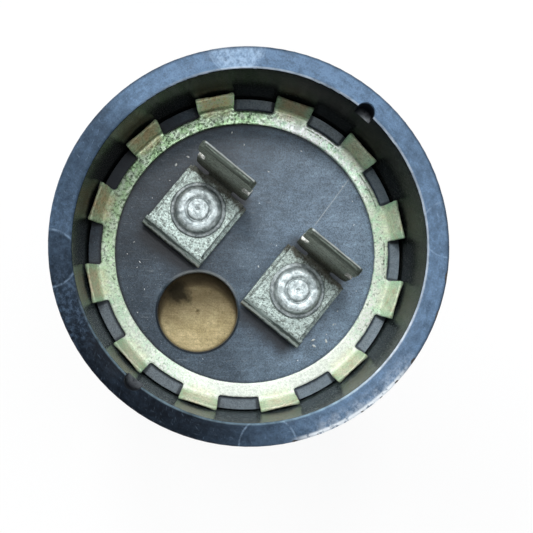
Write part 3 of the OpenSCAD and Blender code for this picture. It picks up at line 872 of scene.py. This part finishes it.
rivetLook = {
    "pale": (0.72, 0.80, 0.81), "grey": (0.29, 0.345, 0.355), "clouds": (1.7, 0.36, 0.64, 5.0, 0.68),
    "pairLightAndShade": (0.97, 1.13), "turnedAcross": 6.0, "turnedAlong": 0.5, "lip": (2.1, 2.4),
    "grimeAndShade": (0.04, 0.043, 0.042), "specks": (5.0, 0.56, 0.68, 3.0, 0.68), "corners": (0.6, 2.2, 0.8, 0.4),
    "voxel": 0.075, "soften": 14, "rough": 0.025, "seed": 8.0,
}


def makeRivetMaterial():
    look = rivetLook
    material, shader, place = startMaterial("rivetAluminium")
    colour = tint(patches(place, look["clouds"]), look["grey"], look["pale"])
    # the right rivet is painted lighter than the left, as painted light
    colour = level(colour, pairTone(place, look["pairLightAndShade"]))
    # turned marks around each rivet, and painted shade on the rounded lip of each head
    reach = hypot(minus(absolute(place["X"]), layout["rivetX"]), minus(place["Y"], layout["rivetY"]))
    along = look["turnedAlong"]
    spot = combine(times(reach, look["turnedAcross"]), times(place["X"], along), times(place["Y"], along))
    turned = noiseAt(spot, 1.0, 3.0, 0.6)
    colour = level(colour, times(between(turned, 0.35, 0.65, 0.86, 1.08), between(reach, *look["lip"], 1.0, 0.55)))
    specks = patches(place, look["specks"])
    colour = layer(colour, look["grimeAndShade"], specks, 0.5)
    # painted shade in the corners
    colour = layer(colour, look["grimeAndShade"], grimeAndShade(place, look["corners"]), 0.8)
    bumps = plus(noiseAt(place["Point"], 4.0, 4.0, 0.65), turned)
    dress(shader, colour, span(specks, 0.4, 0.6), bumps, 0.035, {"Metallic": 0.45})
    return material


dentLook = {"smooth": 0.5, "broad": 1.3, "fine": 4.0, "fineShare": 0.7, "sink": 0.3}


# a solid gone over by hammer and age: fine mesh, soft edges, uneven faces
def makeWorn(nodeName, pieceName, look, material, prepare=None):
    piece = copyOf(nodeName, pieceName)
    if prepare:
        prepare(piece)
    fine = piece.modifiers.new("fine", "REMESH")
    fine.mode, fine.voxel_size = "VOXEL", look["voxel"]
    soft = piece.modifiers.new("soft", "SMOOTH")
    soft.factor, soft.iterations = dentLook["smooth"], look["soften"]
    mesh = applyModifiers(piece)
    shift = Vector((look["seed"], 0, 0))
    normals = [vertex.normal.copy() for vertex in mesh.vertices]
    for vertex, normal in zip(mesh.vertices, normals):
        at = vertex.co + shift
        dent = noise.noise(at * dentLook["broad"]) + dentLook["fineShare"] * noise.noise(at * dentLook["fine"])
        vertex.co += normal * look["rough"] * (dent - dentLook["sink"])
    setMaterials(mesh, material)
    mesh.shade_smooth()
    finishPiece(piece, nodeName)


zinc = makeRingMaterial()
tin = makeTinMaterial()
aluminium = makeRivetMaterial()
makeWorn("retaining_ring", "retainingRing", ringLook, zinc, addCornerFillets)
for hand in ("left", "right"):
    makeWorn("terminal_" + hand, "terminal" + hand.title(), tinLook, tin)
    makeWorn("rivet_" + hand, "rivet" + hand.title(), rivetLook, aluminium)
print("ring, terminals and rivets built")


crumbLook = {
    "white": (0.88, 0.90, 0.90), "grey": (0.62, 0.65, 0.65), "grain": (8.0, 0.4, 0.6, 3.0, 0.55),
    # across, along, size and turn of those that show, then how the rest are strewn
    "placed": ((-11.26, 2.45, 0.15, 100), (-10.84, 3.88, 0.13, 20), (10.98, -2.61, 0.15, 60),
               (12.09, -1.85, 0.16, 140), (11.44, -3.03, 0.17, 10), (6.78, -11.6, 0.13, 80)),
    "more": 26, "size": (0.04, 0.09), "reach": 12.6, "seed": 5,
    "clearMiddle": (6.4, 0.2), "clearHalf": (4.2, 5.4), "clearVent": 4.8,
    "long": (1.0, 1.7), "wide": 0.7, "tall": 0.45, "sunk": 0.7, "rough": 0.5, "roughGrain": 1.7,
}


def makeCrumbs():
    look = crumbLook
    draw = random.Random(look["seed"])
    spots = list(look["placed"])
    ventX, ventY = layout["ventAt"]
    while len(spots) < len(look["placed"]) + look["more"]:
        turn, reach = draw.uniform(0, 2 * math.pi), look["reach"] * math.sqrt(draw.random())
        x, y = reach * math.cos(turn), reach * math.sin(turn)
        offset = abs(abs(x) - look["clearMiddle"][0]), abs(y - look["clearMiddle"][1])
        onTerminal = offset[0] < look["clearHalf"][0] and offset[1] < look["clearHalf"][1]
        onVent = math.hypot(x - ventX, y - ventY) < look["clearVent"]
        if not (onTerminal or onVent):
            spots.append((x, y, draw.uniform(*look["size"]), draw.uniform(0, 180)))
    work = bmesh.new()
    for x, y, size, turn in spots:
        flat = Vector((size * draw.uniform(*look["long"]), size * look["wide"], size * look["tall"]))
        middle = Vector((x, y, deckTop + flat.z * look["sunk"]))
        addLump(work, 1.0, flat, math.radians(turn), middle, look["rough"], look["roughGrain"], Vector((x, y, 0)))
    mesh = bpy.data.meshes.new("tinCrumbs")
    closeMesh(work, mesh)
    material, shader, place = startMaterial("crumbTin")
    colour = tint(patches(place, look["grain"]), look["grey"], look["white"])
    dress(shader, colour, 0.5, constants={"Metallic": 0.2})
    setMaterials(mesh, material)
    mesh.shade_smooth()
    finishPiece(addObject("tinCrumbs", mesh))


makeCrumbs()
print("crumbs laid")


# Inner pieces: one recipe, a look for each slot

innerClouds, innerGrain = (0.3, 0.7, 5.0, 0.6), (0, 0.3, 3.0, 0.55, 0.75)
innerLooks = {
    "gasket_rubber": {"name": "gasketRubber", "dark": (0.012, 0.012, 0.012), "pale": (0.03, 0.03, 0.03),
                      "scale": 2.0, "rough": 0.75, "metal": 0.0},
    "lead_aluminium": {"name": "leadAluminium", "dark": (0.55, 0.56, 0.58), "pale": (0.74, 0.75, 0.77),
                       "scale": 1.2, "rough": 0.35, "metal": 0.9},
    "pressboard": {"name": "pressboard", "dark": (0.30, 0.20, 0.10), "pale": (0.44, 0.32, 0.18),
                   "scale": 0.8, "rough": 0.8, "metal": 0.0},
    "winding_paper": {"name": "windingPaper", "dark": (0.46, 0.39, 0.27), "pale": (0.64, 0.57, 0.44),
                      "scale": 0.6, "rough": 0.6, "metal": 0.0},
    "tape": {"name": "windingTape", "dark": (0.50, 0.40, 0.18), "pale": (0.62, 0.52, 0.27),
             "scale": 0.4, "rough": 0.3, "metal": 0.0},
}


def makeInnerMaterial(look):
    material, shader, place = startMaterial(look["name"])
    colour = tint(patches(place, (look["scale"], *innerClouds)), look["dark"], look["pale"])
    colour = layer(colour, look["dark"], scratches(place, innerGrain), 0.3)
    bumps = noiseAt(place["Point"], 4.0, 4.0, 0.6)
    dress(shader, colour, look["rough"], bumps, 0.01, {"Metallic": look["metal"]})
    return material


finishes = {
    "deck_laminate": makeDeckMaterial(), "vent_fibre": makeVentMaterial(),
    "ring_zinc": zinc, "terminal_tin": tin, "rivet_aluminium": aluminium,
}
for slot, look in innerLooks.items():
    finishes[slot] = makeInnerMaterial(look)
for row in frame["record"]["subparts"]:
    if row["material_slot"] in finishes:
        setMaterials(nodes[row["node"]].data, finishes[row["material_slot"]])
print("finishes assigned:", len(finishes))


# Floor, light and camera

floorLook = {"half": 1.5, "below": 0.0001, "white": (0.9, 0.9, 0.9, 1.0), "rough": 0.8, "glow": 0.88}


def makeFloor():
    look, half = floorLook, floorLook["half"]
    mesh = bpy.data.meshes.new("floor")
    mesh.from_pydata([(-half, -half, 0), (half, -half, 0), (half, half, 0), (-half, half, 0)], [], [(0, 1, 2, 3)])
    floor = addObject("floor", mesh)
    floor.location.z = cadBox[0].z - look["below"]
    material = bpy.data.materials.new("floorWhite")
    material.use_nodes = True
    tree = material.node_tree
    shader = tree.nodes["Principled BSDF"]
    dress(shader, look["white"], look["rough"])
    glow = addNode(tree, "Emission", {"Color": (1.0, 1.0, 1.0, 1.0), "Strength": 1.0})
    ray = addNode(tree, "LightPath").outputs
    seen = larger(ray["Is Camera Ray"], larger(ray["Is Glossy Ray"], ray["Is Transmission Ray"]))
    mixed = addNode(tree, "MixShader", {0: times(seen, look["glow"]), 1: shader.outputs[0], 2: glow.outputs[0]})
    feed(tree.nodes["Material Output"].inputs["Surface"], mixed.outputs[0])
    setMaterials(mesh, material)


lightLook = {
    "keyAngle": 95.0, "keyRise": 64.0, "keyFar": 0.5, "keySize": (0.07, 0.07), "keyPower": 0.78,
    "keyColour": (1.0, 0.99, 0.97), "dim": (0.17, 0.175, 0.18), "horizon": (0.80, 0.82, 0.85),
    "horizonFrom": (0.45, 0.2),
    "lobes": (
        {"angle": 36.0, "lean": 25.0, "wide": 28.0, "core": 0.62, "glow": (2.6, 2.7, 2.8)},
        {"angle": 134.0, "lean": 52.0, "wide": 26.0, "core": 0.4, "glow": (4.6, 4.7, 4.7)},
        {"angle": 272.0, "lean": 52.0, "wide": 26.0, "core": 0.4, "glow": (1.5, 1.5, 1.45)},
    ),
}


def makeLights():
    look = lightLook
    turn, rise = pictureAngle(look["keyAngle"]), math.radians(look["keyRise"])
    toLight = Vector((math.cos(turn) * math.cos(rise), math.sin(turn) * math.cos(rise), math.sin(rise)))
    lamp = bpy.data.lights.new("keyLight", "AREA")
    lamp.shape = "RECTANGLE"
    lamp.size, lamp.size_y = look["keySize"]
    lamp.energy = look["keyPower"]
    lamp.color = look["keyColour"]
    key = addObject("keyLight", lamp)
    place = Vector((0, 0, cadBox[1].z)) + toLight * look["keyFar"]
    tall = toLight.cross(outward(pictureAngle(0))).normalized()
    axes = Matrix((tall.cross(toLight), tall, toLight)).transposed().to_4x4()
    key.matrix_world = Matrix.Translation(place) @ axes

    # a dim sky with a pale horizon and three soft lights in it
    world = bpy.data.worlds.new("studioSky")
    scene.world = world
    world.use_nodes = True
    tree = world.node_tree
    ray = addNode(tree, "TexCoord").outputs["Generated"]
    height = addNode(tree, "SeparateXYZ", {0: ray}).outputs[2]
    sky = tint(between(height, *look["horizonFrom"]), look["dim"], look["horizon"])
    for lobe in look["lobes"]:
        turn, lean, wide = pictureAngle(lobe["angle"]), math.radians(lobe["lean"]), math.radians(lobe["wide"])
        middle = Vector((math.cos(turn) * math.sin(lean), math.sin(turn) * math.sin(lean), math.cos(lean)))
        near = vectorMath("DOT_PRODUCT", ray, middle)["Value"]
        sky = tint(between(near, math.cos(wide), math.cos(wide * lobe["core"])), sky, lobe["glow"])
    feed(tree.nodes["Background"].inputs["Color"], sky)


cameraLook = {
    "at": (0.846, -8.458, 149.247), "looksAt": (2.321, -0.801, 70.0), "focalPixels": 880.0, "framePixels": 533.0,
    "sensor": 36.0, "nearest": 0.001,
}


def makeCamera():
    look = cameraLook
    lens = bpy.data.cameras.new("camera")
    lens.sensor_width = look["sensor"]
    lens.lens = look["focalPixels"] / look["framePixels"] * lens.sensor_width
    lens.clip_start = look["nearest"]
    camera = addObject("camera", lens)
    place = Vector(look["at"]) * mm
    forward = (Vector(look["looksAt"]) * mm - place).normalized()
    right = forward.cross(outward(pictureAngle(90))).normalized()
    up = right.cross(forward)
    camera.matrix_world = Matrix.Translation(place) @ Matrix((right, up, -forward)).transposed().to_4x4()
    scene.camera = camera


makeFloor()
makeLights()
makeCamera()
scene.view_settings.view_transform = "Standard"
print("stage, light and camera set")
